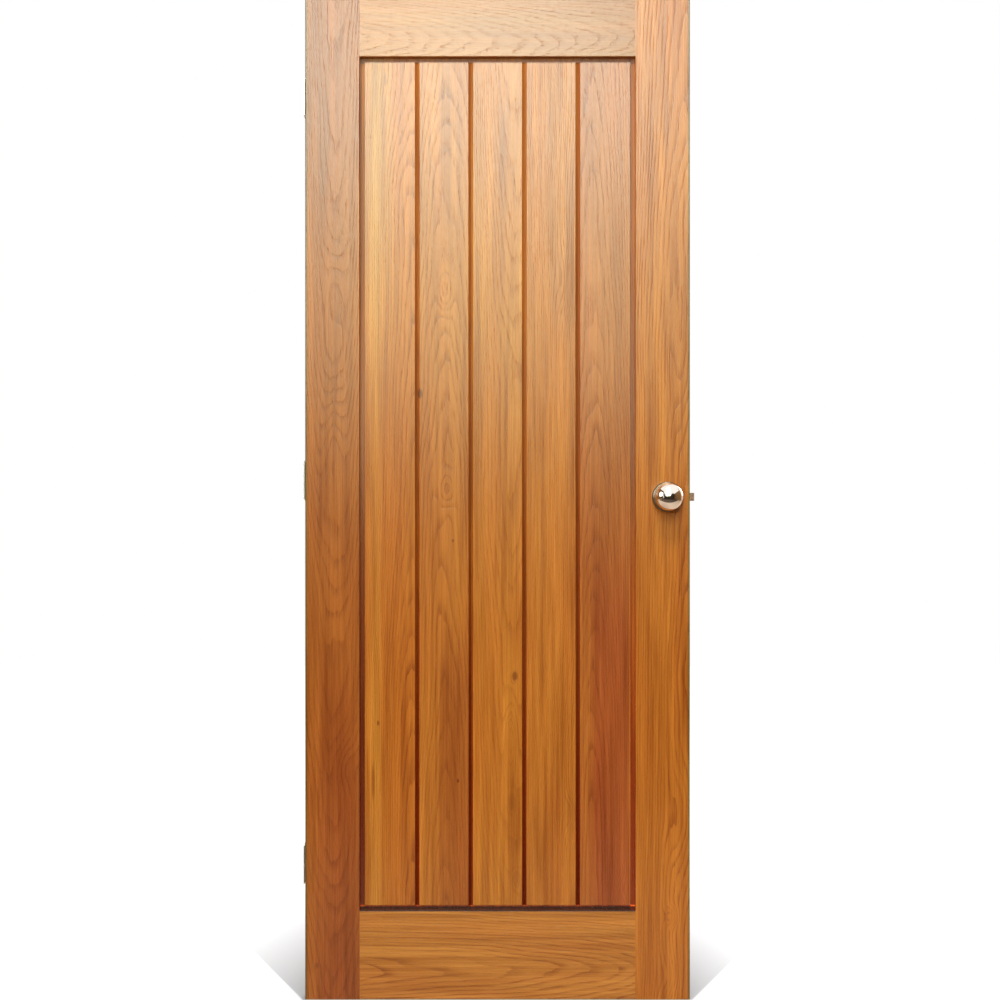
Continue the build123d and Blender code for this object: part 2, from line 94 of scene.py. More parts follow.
class Bench:
    """One material's nodes, put together as sums and mixes of sockets.

    place is where a point lies on the piece, and facing is the way its surface looks.
    """

    def __init__(self, name: str) -> None:
        """Start a material that has one surface shader.

        Args:
            name: the material's name.
        """
        self.material = bpy.data.materials.new(name)
        self.material.use_nodes = True
        self.nodes = self.material.node_tree.nodes
        self.links = self.material.node_tree.links
        self.nodes.clear()
        self.surface = self.nodes.new("ShaderNodeBsdfPrincipled")
        output = self.nodes.new("ShaderNodeOutputMaterial")
        self.links.new(self.surface.outputs["BSDF"], output.inputs["Surface"])
        source = self.nodes.new("ShaderNodeTexCoord")
        self.place, self.facing = source.outputs["Object"], source.outputs["Normal"]

    def feed(self, target: Socket, value: Value) -> None:
        """Join a socket to the target, or write a constant on it.

        Args:
            target: the input that gets the value.
            value: a socket, a number or a colour.
        """
        if isinstance(value, Socket):
            self.links.new(value, target)
        elif isinstance(value, tuple) and len(target.default_value) == 4:
            target.default_value = (*value, 1.0)
        else:
            target.default_value = value

    def coat(self, name: str, value: Value) -> None:
        """Join a socket to one of the surface's own inputs, or write a constant on it."""
        self.feed(self.surface.inputs[name], value)

    def calc(
        self, operation: str, first: Value, second: Value = 0.0, third: Value = 0.0, clamp: bool = False
    ) -> Socket:
        """One step of arithmetic.

        Args:
            operation: the Math node's operation.
            first: the first operand.
            second: the second operand.
            third: the third operand, where the operation has one.
            clamp: whether the result is held between 0 and 1.

        Returns:
            The result's socket.
        """
        node = self.nodes.new("ShaderNodeMath")
        node.operation = operation
        node.use_clamp = clamp
        for target, value in zip(node.inputs, (first, second, third)):
            self.feed(target, value)
        return node.outputs["Value"]

    def times(self, first: Value, second: Value) -> Socket:
        """First times second."""
        return self.calc("MULTIPLY", first, second)

    def plus(self, first: Value, second: Value) -> Socket:
        """First plus second."""
        return self.calc("ADD", first, second)

    def swing(self, wave: Value, reach: float) -> Socket:
        """A 0 to 1 wave turned into one that swings from -reach/2 to +reach/2."""
        return self.calc("MULTIPLY_ADD", wave, reach, -reach / 2)

    def between(self, value: Value, low: float, high: float) -> Socket:
        """Smooth step of a value from 0 at low to 1 at high; low may be the larger.

        Args:
            value: the socket that is read.
            low: where the step starts.
            high: where the step ends.

        Returns:
            The step's socket, 0 to 1.
        """
        node = self.nodes.new("ShaderNodeMapRange")
        node.interpolation_type = "SMOOTHSTEP"
        self.feed(node.inputs["Value"], value)
        node.inputs["From Min"].default_value = low
        node.inputs["From Max"].default_value = high
        return node.outputs["Result"]

    def split(self, vector: Socket) -> list[Socket]:
        """Take a vector apart.

        Args:
            vector: the vector's socket.

        Returns:
            Its X, Y and Z sockets.
        """
        node = self.nodes.new("ShaderNodeSeparateXYZ")
        self.links.new(vector, node.inputs[0])
        return list(node.outputs)

    def vector(self, x: Value, y: Value, z: Value) -> Socket:
        """Put a vector together.

        Args:
            x: its first value.
            y: its second value.
            z: its third value.

        Returns:
            The vector's socket.
        """
        node = self.nodes.new("ShaderNodeCombineXYZ")
        for target, value in zip(node.inputs, (x, y, z)):
            self.feed(target, value)
        return node.outputs["Vector"]

    def noise(
        self, place: Socket, waves: Point, seed: float = 0.0, detail: float = 2.0, rough: float = 0.5
    ) -> Socket:
        """Soft noise, 0 to 1 about a half.

        Args:
            place: where the noise is read.
            waves: waves to the metre on each axis.
            seed: moves the pattern.
            detail: how many finer layers are added.
            rough: how strong those are.

        Returns:
            The noise's socket.
        """
        mapping = self.nodes.new("ShaderNodeMapping")
        self.links.new(place, mapping.inputs["Vector"])
        mapping.inputs["Scale"].default_value = waves
        mapping.inputs["Location"].default_value = (seed, 1.7 * seed, 0.6 * seed)
        node = self.nodes.new("ShaderNodeTexNoise")
        self.links.new(mapping.outputs["Vector"], node.inputs["Vector"])
        node.inputs["Scale"].default_value = 1.0
        node.inputs["Detail"].default_value = detail
        node.inputs["Roughness"].default_value = rough
        return node.outputs["Fac"]

    def chance(self, value: Value) -> Socket:
        """A number that belongs to each whole value, as by a throw of dice.

        Args:
            value: the whole value.

        Returns:
            The number's socket, 0 to 1.
        """
        node = self.nodes.new("ShaderNodeTexWhiteNoise")
        node.noise_dimensions = "1D"
        self.feed(node.inputs["W"], value)
        return node.outputs["Value"]

    def mix(self, share: Value, first: Value, second: Value, blend: str = "MIX") -> Socket:
        """Two colours mixed.

        Args:
            share: how much of the second goes in, 0 to 1.
            first: the colour below.
            second: the colour on top.
            blend: the Mix node's way of blending.

        Returns:
            The mixed colour.
        """
        node = self.nodes.new("ShaderNodeMix")
        node.data_type = "RGBA"
        node.blend_type = blend
        self.feed(node.inputs[0], share)
        self.feed(node.inputs[6], first)
        self.feed(node.inputs[7], second)
        return node.outputs[2]

    def tinted(self, value: Socket, reach: Colour) -> Socket:
        """White plus a value that is scaled for red, green and blue each.

        Args:
            value: a number that swings about 0.
            reach: how far each of the three colours follows it.

        Returns:
            The colour.
        """
        node = self.nodes.new("ShaderNodeCombineColor")
        for target, share in zip(node.inputs, reach):
            self.links.new(self.calc("MULTIPLY_ADD", value, share, 1.0), target)
        return node.outputs["Color"]

    def bump(self, height: Socket, depth: float, under: Socket | None = None) -> Socket:
        """A normal turned by a height that is 0 to 1.

        Args:
            height: the relief.
            depth: metres from the relief's 0 to its 1.
            under: a normal that this one is laid over.

        Returns:
            The turned normal.
        """
        node = self.nodes.new("ShaderNodeBump")
        node.inputs["Distance"].default_value = depth
        self.links.new(height, node.inputs["Height"])
        if under is not None:
            self.links.new(under, node.inputs["Normal"])
        return node.outputs["Normal"]

    def chamfer_share(self) -> Socket:
        """How far a face is turned towards 45 degrees, from the largest part of the piece's normal.

        Returns:
            The share's socket, 0 on faces square to an axis and 1 on chamfers.
        """
        largest: Value = 0.0
        for part in self.split(self.facing):
            largest = self.calc("MAXIMUM", largest, self.calc("ABSOLUTE", part))
        return self.between(largest, 0.98, 0.75)


# Oak


@dataclass(frozen=True)
class Mark:
    """A knot, swirl or scar in the figure of a board.

    The rings bend round it by push, and it is darkened by stain.
    """

    across: float
    along: float
    half_across: float
    half_along: float
    push: float = 0.0
    stain: float = 0.0


@dataclass(frozen=True)
class Band:
    """A strip that runs along a piece and differs in colour: sapwood and heartwood, and in some pieces
    painted shade and painted light beside the joints.
    """

    across: float
    half: float
    colour: Colour
    start: float = -9.0
    full: float = -8.0
    strength: float = 1.0


@dataclass(frozen=True)
class OakLook:
    """How one oak piece was cut from the log, and its own colour.

    heart_across and heart_behind place the log's heart, and lean is how fast it comes nearer along the
    piece. face is how far the piece's faces are from the middle of the door: below them stain gathers and
    shade is painted.
    figure is how strong the streaks along the fibres are.
    """

    seed: float
    tint: Colour
    grain: Grain = Grain.UPRIGHT
    heart_across: float = 0.0
    heart_behind: float = 0.07
    lean: float = 0.03
    middle: float = 1.0
    ring: float = 0.0030
    contrast: float = 0.5
    wander: float = 0.03
    face: float = 0.009
    figure: float = 1.0
    marks: tuple[Mark, ...] = ()
    bands: tuple[Band, ...] = ()
    # Strips across the ends: on the boards, painted shade and a painted highlight at the rebates.
    painted_end_shading: tuple[Band, ...] = ()


class Timber(Bench):
    """The bench of one oak piece, with its rings, streaks and pores, each 0 to 1.

    A ring starts with a thin line of open early wood, broken into dashes. Streaks are noise drawn out
    along the fibres at three widths, and pores are the finest noise, most of them in the early wood.
    Waves are counted to the metre: across, through and along.
    """

    sway_waves: Point = (1.0, 1.0, 1.3)
    rise_waves: Point = (1.0, 1.0, 1.1)
    ripple_waves: Point = (26.0, 26.0, 4.5)
    ripple_reach: float = 2.6
    dash_waves: Point = (300.0, 300.0, 10.0)
    patch_waves: Point = (14.0, 14.0, 1.6)
    fibre_waves: Point = (420.0, 420.0, 7.0)
    strand_waves: Point = (140.0, 140.0, 3.4)
    ribbon_waves: Point = (48.0, 48.0, 2.6)
    pore_waves: Point = (2400.0, 2400.0, 90.0)

    def __init__(self, name: str, look: OakLook) -> None:
        """Work out the piece's figure.

        Args:
            name: the material's name.
            look: how the piece was cut and its colour.
        """
        super().__init__(name)
        self.look = look
        seed = look.seed
        self.x, self.depth, self.z = self.split(self.place)
        self.along, self.across = (self.z, self.x) if look.grain is Grain.UPRIGHT else (self.x, self.z)
        self.board = self.vector(self.across, self.depth, self.along)
        count = self.rings()
        part = self.calc("FRACT", count)
        early = self.times(self.between(part, 0.55, 0.0), self.between(part, 0.0, 0.06))
        dash = self.between(self.noise(self.board, self.dash_waves, seed + 11.0, 1.0), 0.36, 0.60)
        self.early = self.times(early, self.plus(self.times(dash, 0.75), 0.35))
        self.tone = self.chance(self.calc("FLOOR", count))
        self.patch = self.noise(self.board, self.patch_waves, seed + 3.0)
        self.fibre = self.noise(self.board, self.fibre_waves, seed, 2.0, 0.6)
        self.strand = self.noise(self.board, self.strand_waves, seed + 5.0)
        self.ribbon = self.noise(self.board, self.ribbon_waves, seed + 7.0)
        pore = self.between(self.noise(self.board, self.pore_waves, seed, 1.0), 0.60, 0.72)
        self.pores = self.times(pore, self.plus(self.times(self.early, 0.8), 0.2))

    def swirl(self, mark: Mark) -> Socket:
        """Round hill over a mark: e to the minus (distance over half size) squared.

        Args:
            mark: the knot, swirl or scar.

        Returns:
            The hill's height, 0 to 1.
        """
        side = self.calc("MULTIPLY_ADD", self.across, 1 / mark.half_across, -mark.across / mark.half_across)
        way = self.calc("MULTIPLY_ADD", self.along, 1 / mark.half_along, -mark.along / mark.half_along)
        distance = self.plus(self.times(side, side), self.times(way, way))
        return self.calc("EXPONENT", self.times(distance, -1.0))

    def rings(self) -> Socket:
        """Count of growth rings out from the log's heart.

        The heart's line leans towards the face and wanders, so the rings come out as arches and lines.

        Returns:
            The ring count, a growing number.
        """
        look = self.look
        line = self.vector(look.seed, look.seed, self.along)
        sway = self.swing(self.noise(line, self.sway_waves), 2 * look.wander)
        rise = self.swing(self.noise(line, self.rise_waves, 9.0), 1.6 * look.wander)
        side = self.plus(self.calc("SUBTRACT", self.across, look.heart_across), sway)
        slope = self.calc("MULTIPLY_ADD", self.along, look.lean, look.heart_behind - look.lean * look.middle)
        behind = self.plus(self.calc("SUBTRACT", self.depth, slope), rise)
        reach = self.calc("SQRT", self.plus(self.times(side, side), self.times(behind, behind)))
        count = self.times(reach, 1 / look.ring)
        ripple = self.noise(self.board, self.ripple_waves, look.seed, 3.0)
        count = self.plus(count, self.swing(ripple, self.ripple_reach))
        for mark in look.marks:
            if mark.push:
                count = self.plus(count, self.times(self.swirl(mark), mark.push))
        return count

    def tinge(self, share: Value, colour: Value, by: Value) -> Socket:
        """A colour multiplied by another where the share is 1."""
        return self.mix(share, colour, by, "MULTIPLY")

    def lay_band(self, band: Band, colour: Value, across: Value, along: Value) -> Socket:
        """Lay a strip over a colour, its edges frayed by the strands: sapwood and heartwood, and also
        painted shade and painted light.

        Args:
            band: the strip.
            colour: the colour under it.
            across: the axis that the strip's middle is counted on.
            along: the axis that it runs along.

        Returns:
            The colour with the strip.
        """
        distance = self.calc("ABSOLUTE", self.calc("SUBTRACT", across, band.across))
        distance = self.plus(distance, self.swing(self.strand, 0.5 * band.half))
        share = self.between(distance, 1.25 * band.half, 0.6 * band.half)
        share = self.times(share, self.between(along, band.start, band.full))
        return self.tinge(self.times(share, band.strength), colour, band.colour)


@dataclass(frozen=True)
class OakFinish:
    """Honey-stained oak under satin lacquer, darker in the joints from stain and painted shade.

    The darkening in the joints, stain and painted shade together, is full below joint_full_height and has
    nearly faded at joint_faded_height: the upper joints are painted lighter where the light falls more
    strongly. The lacquer in the joints is worn above worn_start.
    """

    early_shade: Colour = (0.66, 0.46, 0.34)
    late_lift: Colour = (1.11, 1.05, 1.14)
    streak_reach: Colour = (0.74, 1.08, 1.6)
    fibre_reach: float = 0.45
    strand_reach: float = 0.90
    ribbon_reach: float = 1.20
    tone_reach: float = 0.10
    heart_shade: Colour = (0.93, 0.84, 0.82)
    # Stain and painted shade in the joints and recesses.
    joint_stain_and_shade: Colour = (0.36, 0.10, 0.02)
    knot_shade: Colour = (0.34, 0.20, 0.12)
    # Painted shade on the face beside the outer arrises.
    painted_rim_shade: Colour = (0.50, 0.90, 1.3)
    rim_start: float = 0.3755
    rim_full: float = 0.3787
    rim_faded_depth: float = 0.0020
    rim_full_depth: float = 0.0010
    joint_full_depth: float = 0.0012
    # Painted shade in the joints is full below the first height and nearly gone at the second: painted
    # lighter towards the top.
    joint_full_height: float = 0.20
    joint_faded_height: float = 1.90
    joint_faded: float = 0.05
    opening_half: float = 0.273
    opening_middle: float = 1.021
    opening_half_height: float = 0.846
    frame_full: float = 0.002
    frame_faded: float = 0.006
    lacquer_level: float = 0.64
    lacquer_tint: Colour = (1.0, 1.0, 0.80)
    lacquer_rough: float = 0.27
    lacquer_reach: float = 0.08
    recess_rough: float = 0.28
    worn_start: float = 0.90
    worn_full: float = 1.50
    pore_rough: float = 0.15
    ring_relief: float = 0.00010
    pore_relief: float = 0.00012

    def wood_colour(self, wood: Timber) -> Socket:
        """Colour of the wood from its rings, streaks, heartwood, pores, bands and marks; some bands are
        painted shade and painted light.

        Args:
            wood: the piece's bench.

        Returns:
            The colour before the joints' stain.
        """
        look = wood.look
        strength = wood.times(wood.plus(wood.times(wood.patch, 1.2), 0.4), look.contrast)
        strength = wood.times(strength, wood.plus(wood.times(wood.tone, 0.8), 0.6))
        light = tuple(a * b for a, b in zip(look.tint, self.late_lift))
        dark = tuple(a * b for a, b in zip(look.tint, self.early_shade))
        colour = wood.mix(wood.times(wood.early, strength), light, dark)
        streak = wood.swing(wood.fibre, self.fibre_reach * look.figure)
        streak = wood.plus(streak, wood.swing(wood.strand, self.strand_reach * look.figure))
        streak = wood.plus(streak, wood.swing(wood.ribbon, self.ribbon_reach * look.figure))
        streak = wood.plus(streak, wood.swing(wood.tone, self.tone_reach))
        colour = wood.tinge(1.0, colour, wood.tinted(streak, self.streak_reach))
        red = wood.between(wood.plus(wood.patch, wood.swing(wood.ribbon, 0.5)), 0.40, 0.64)
        colour = wood.tinge(red, colour, self.heart_shade)
        colour = wood.tinge(wood.times(wood.pores, 0.55), colour, self.early_shade)
        for band in look.bands:
            colour = wood.lay_band(band, colour, wood.across, wood.along)
        # End strips are painted shade and a painted highlight at the boards' rebates.
        for band in look.painted_end_shading:
            colour = wood.lay_band(band, colour, wood.along, wood.across)
        for mark in look.marks:
            if mark.stain:
                knot = wood.between(wood.swirl(mark), 0.15, 0.75)
                colour = wood.tinge(wood.times(knot, mark.stain), colour, self.knot_shade)
        return colour

    def dress(self, look: OakLook, name: str) -> bpy.types.Material:
        """The oak material of one piece.

        Args:
            look: how the piece was cut and its colour.
            name: the material's name.

        Returns:
            The material.
        """
        wood = Timber(name, look)
        recess = self.recess_share(wood)
        # Stain and painted shade in the joints, painted lighter towards the top where the light is stronger.
        faded = wood.between(wood.z, self.joint_full_height, self.joint_faded_height)
        joint = wood.times(recess, wood.calc("MULTIPLY_ADD", faded, self.joint_faded - 1.0, 1.0))
        colour = wood.tinge(joint, self.wood_colour(wood), self.joint_stain_and_shade)
        # Painted shade along the outer arrises.
        wood.coat("Base Color", wood.tinge(self.painted_rim_share(wood), colour, self.painted_rim_shade))
        wood.coat("Specular IOR Level", self.lacquer_level)
        wood.coat("Specular Tint", self.lacquer_tint)
        rough = wood.plus(wood.swing(wood.fibre, self.lacquer_reach), self.lacquer_rough)
        worn = wood.times(recess, wood.between(wood.z, self.worn_start, self.worn_full))
        rough = wood.plus(rough, wood.times(worn, self.recess_rough))
        wood.coat("Roughness", wood.plus(rough, wood.times(wood.pores, self.pore_rough)))
        relief = wood.bump(wood.calc("SUBTRACT", 1.0, wood.early), self.ring_relief)
        wood.coat("Normal", wood.bump(wood.calc("SUBTRACT", 1.0, wood.pores), self.pore_relief, relief))
        return wood.material

    def recess_share(self, wood: Timber) -> Socket:
        """Where stain gathers, shade is painted and lacquer is thin: below the faces, inside the frame's
        opening.

        Args:
            wood: the piece's bench.

        Returns:
            The share's socket, 1 in the joints.
        """
        face = wood.look.face
        share = wood.between(wood.calc("ABSOLUTE", wood.depth), face, face - self.joint_full_depth)
        side = wood.calc("SUBTRACT", wood.calc("ABSOLUTE", wood.x), self.opening_half)
        level = wood.calc("ABSOLUTE", wood.calc("SUBTRACT", wood.z, self.opening_middle))
        end = wood.calc("SUBTRACT", level, self.opening_half_height)
        outside = wood.calc("MAXIMUM", side, end)
        return wood.times(share, wood.between(outside, self.frame_faded, self.frame_full))

    def painted_rim_share(self, wood: Timber) -> Socket:
        """How much painted shade darkens the outer arrises, on the face close beside the edge.

        Args:
            wood: the piece's bench.

        Returns:
            The share's socket, 1 at the edge.
        """
        edge = wood.between(wood.calc("ABSOLUTE", wood.x), self.rim_start, self.rim_full)
        face, below = wood.look.face, wood.calc("ABSOLUTE", wood.depth)
        return wood.times(edge, wood.between(below, face - self.rim_faded_depth, face - self.rim_full_depth))


# Metals and beech


@dataclass(frozen=True)
class MetalFinish:
    """A metal with its own gloss, fine scratches, smudges and edges rubbed bright.

    Scratch is how deep the scratches are, in metres, and lay is how many there are to the metre on each
    axis. Edge_wear is how much of the rubbed colour shows on chamfers, and is 0 on round pieces.
    """

    name: str
    colour: Colour
    rough: float
    smudge: float = 0.05
    scratch: float = 0.0
    lay: Point = (900.0, 900.0, 900.0)
    cloud_waves: Point = (55.0, 55.0, 55.0)
    least_rough: float = 0.02
    dull_share: float = 0.25
    dull: Colour = (0.6, 0.58, 0.55)
    edge_wear: float = 0.0
    rubbed: Colour = (0.86, 0.84, 0.80)

    def dress(self) -> bpy.types.Material:
        """The metal's material.

        Returns:
            The material.
        """
        bench = Bench(self.name)
        cloud = bench.noise(bench.place, self.cloud_waves, 2.0, 3.0)
        line = bench.noise(bench.place, self.lay, 4.0, 2.0)
        shade = bench.between(cloud, 0.35, 0.75)
        colour = bench.mix(bench.times(shade, self.dull_share), self.colour, self.dull)
        if self.edge_wear:
            wear = bench.times(bench.chamfer_share(), bench.between(cloud, 0.30, 0.60))
            colour = bench.mix(bench.times(wear, self.edge_wear), colour, self.rubbed)
        bench.coat("Base Color", colour)
        bench.coat("Metallic", 1.0)
        rough = bench.plus(bench.times(shade, self.smudge), bench.swing(line, self.smudge))
        rough = bench.calc("MAXIMUM", bench.plus(rough, self.rough), self.least_rough)
        bench.coat("Roughness", rough)
        if self.scratch:
            bench.coat("Normal", bench.bump(line, self.scratch))
        return bench.material


@dataclass(frozen=True)
class BeechFinish:
    """Plain beech of the dowels: pale and pinkish, with short dark flecks along X."""

    colour: Colour = (0.62, 0.40, 0.24)
    fleck: Colour = (0.40, 0.22, 0.12)
    fleck_waves: Point = (160.0, 1500.0, 1500.0)
    fibre_waves: Point = (12.0, 500.0, 500.0)
    relief: float = 0.0001

    def dress(self) -> bpy.types.Material:
        """The dowels' material.

        Returns:
            The material.
        """
        bench = Bench("beech")
        fleck = bench.noise(bench.place, self.fleck_waves, 1.0, 1.0)
        fibre = bench.noise(bench.place, self.fibre_waves, 6.0, 3.0)
        shade = bench.plus(bench.between(fleck, 0.60, 0.70), bench.times(fibre, 0.4))
        bench.coat("Base Color", bench.mix(shade, self.colour, self.fleck))
        bench.coat("Roughness", bench.plus(bench.times(fibre, 0.2), 0.5))
        bench.coat("Normal", bench.bump(fibre, self.relief))
        return bench.material


def dress_node(node: str, material: bpy.types.Material) -> None:
    """Give a CAD piece a material in place of its own.

    Args:
        node: the CAD node's name.
        material: what it is dressed in.
    """
    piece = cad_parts[node]
    piece.data.materials.clear()
    piece.data.materials.append(material)
    report.info("finished %s", node)


# Surfaces worked out with numpy


def lattice(rows: int, columns: int) -> np.ndarray:
    """Corner numbers of the quads of a grid of points whose last column joins its first.

    Args:
        rows: points along the first parameter.
        columns: points round the second parameter.

    Returns:
        An array of quads, four point numbers each.
    """
    i, j = np.meshgrid(np.arange(rows - 1), np.arange(columns), indexing="ij")
    here, below, right = i * columns, (i + 1) * columns, (j + 1) % columns
    corners = [here + j, here + right, below + right, below + j]
    return np.stack([corner.ravel() for corner in corners], axis=1)


@dataclass
class Skin:
    """Closed surfaces gathered into one mesh, whose edges stay sharp past crease degrees."""

    points: list[np.ndarray] = field(default_factory=list)
    quads: list[np.ndarray] = field(default_factory=list)
    count: int = 0
    crease: float = 35.0

    def add(self, grid: np.ndarray) -> None:
        """Add a surface that is closed round its columns.

        Args:
            grid: its points, rows by columns by 3.
        """
        rows, columns = grid.shape[:2]
        self.points.append(grid.reshape(-1, 3))
        self.quads.append(lattice(rows, columns) + self.count)
        self.count += rows * columns

    def make(self, name: str, body: str, finish: bpy.types.Material) -> bpy.types.Object:
        """Make the mesh, weld its seams and poles, turn its faces out and let it ride.

        Args:
            name: the piece's name.
            body: the CAD body that it rides on.
            finish: its material.

        Returns:
            The piece.
        """
        mesh = bpy.data.meshes.new(name)
        mesh.from_pydata(np.concatenate(self.points), [], np.concatenate(self.quads).tolist())
        work = bmesh.new()
        work.from_mesh(mesh)
        bmesh.ops.remove_doubles(work, verts=work.verts, dist=1e-7)
        bmesh.ops.dissolve_degenerate(work, edges=work.edges, dist=1e-8)
        bmesh.ops.recalc_face_normals(work, faces=work.faces)
        work.to_mesh(mesh)
        work.free()
        mesh.shade_smooth()
        mesh.set_sharp_from_angle(angle=math.radians(self.crease))
        mesh.materials.append(finish)
        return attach(put(name, mesh), body)


def turned(radius: np.ndarray, height: np.ndarray, angle: np.ndarray) -> np.ndarray:
    """Surface about Z: x is radius times cosine, y radius times sine, z the height, by rows and columns."""
    flat = np.ones((len(radius), len(angle)))
    return np.stack([radius * np.cos(angle) * flat, radius * np.sin(angle) * flat, height * flat], axis=-1)


def aimed(grid: np.ndarray, seat: Point, way: Point) -> np.ndarray:
    """A grid made about Z, turned so that its Z lies along the way, and moved by the seat."""
    turn = np.array(Vector((0, 0, 1)).rotation_difference(Vector(way)).to_matrix())
    return grid @ turn.T + np.array(seat)


# Studio


@dataclass(frozen=True)
class SoftBox:
    """A flat light with an even face, aimed at a point."""

    name: str
    centre: Point
    aim: Point
    width: float
    height: float
    radiance: float
    colour: Colour = (1.0, 1.0, 1.0)

    def hang(self) -> None:
        """Put the light in the scene; its power is four times area times radiance."""
        lamp = bpy.data.lights.new(self.name, "AREA")
        lamp.shape = "RECTANGLE"
        lamp.size, lamp.size_y = self.width, self.height
        lamp.energy = 4.0 * self.width * self.height * self.radiance
        lamp.color = self.colour
        light = put(self.name, lamp)
        light.location = self.centre
        way = Vector(self.aim) - Vector(self.centre)
        light.rotation_mode = "QUATERNION"
        light.rotation_quaternion = way.to_track_quat("-Z", "Y")


BLACK: Colour = (0.05, 0.028, 0.016)
BROWN: Colour = (0.20, 0.10, 0.035)
PEACH: Colour = (0.85, 0.60, 0.44)
CARD_FOOT = 0.001


@dataclass(frozen=True)
class Card:
    """A flat card that keeps light off the door or gives it something dark to mirror."""

    name: str
    corners: tuple[Point, ...]
    colour: Colour = BLACK
    rough: float = 0.9


def side_card(name: str, x: float, near: float, far: float, top: float, colour: Colour) -> Card:
    """An upright card square to X, from y near to y far."""
    corners = ((x, near, CARD_FOOT), (x, far, CARD_FOOT), (x, far, top), (x, near, top))
    return Card(name, corners, colour)


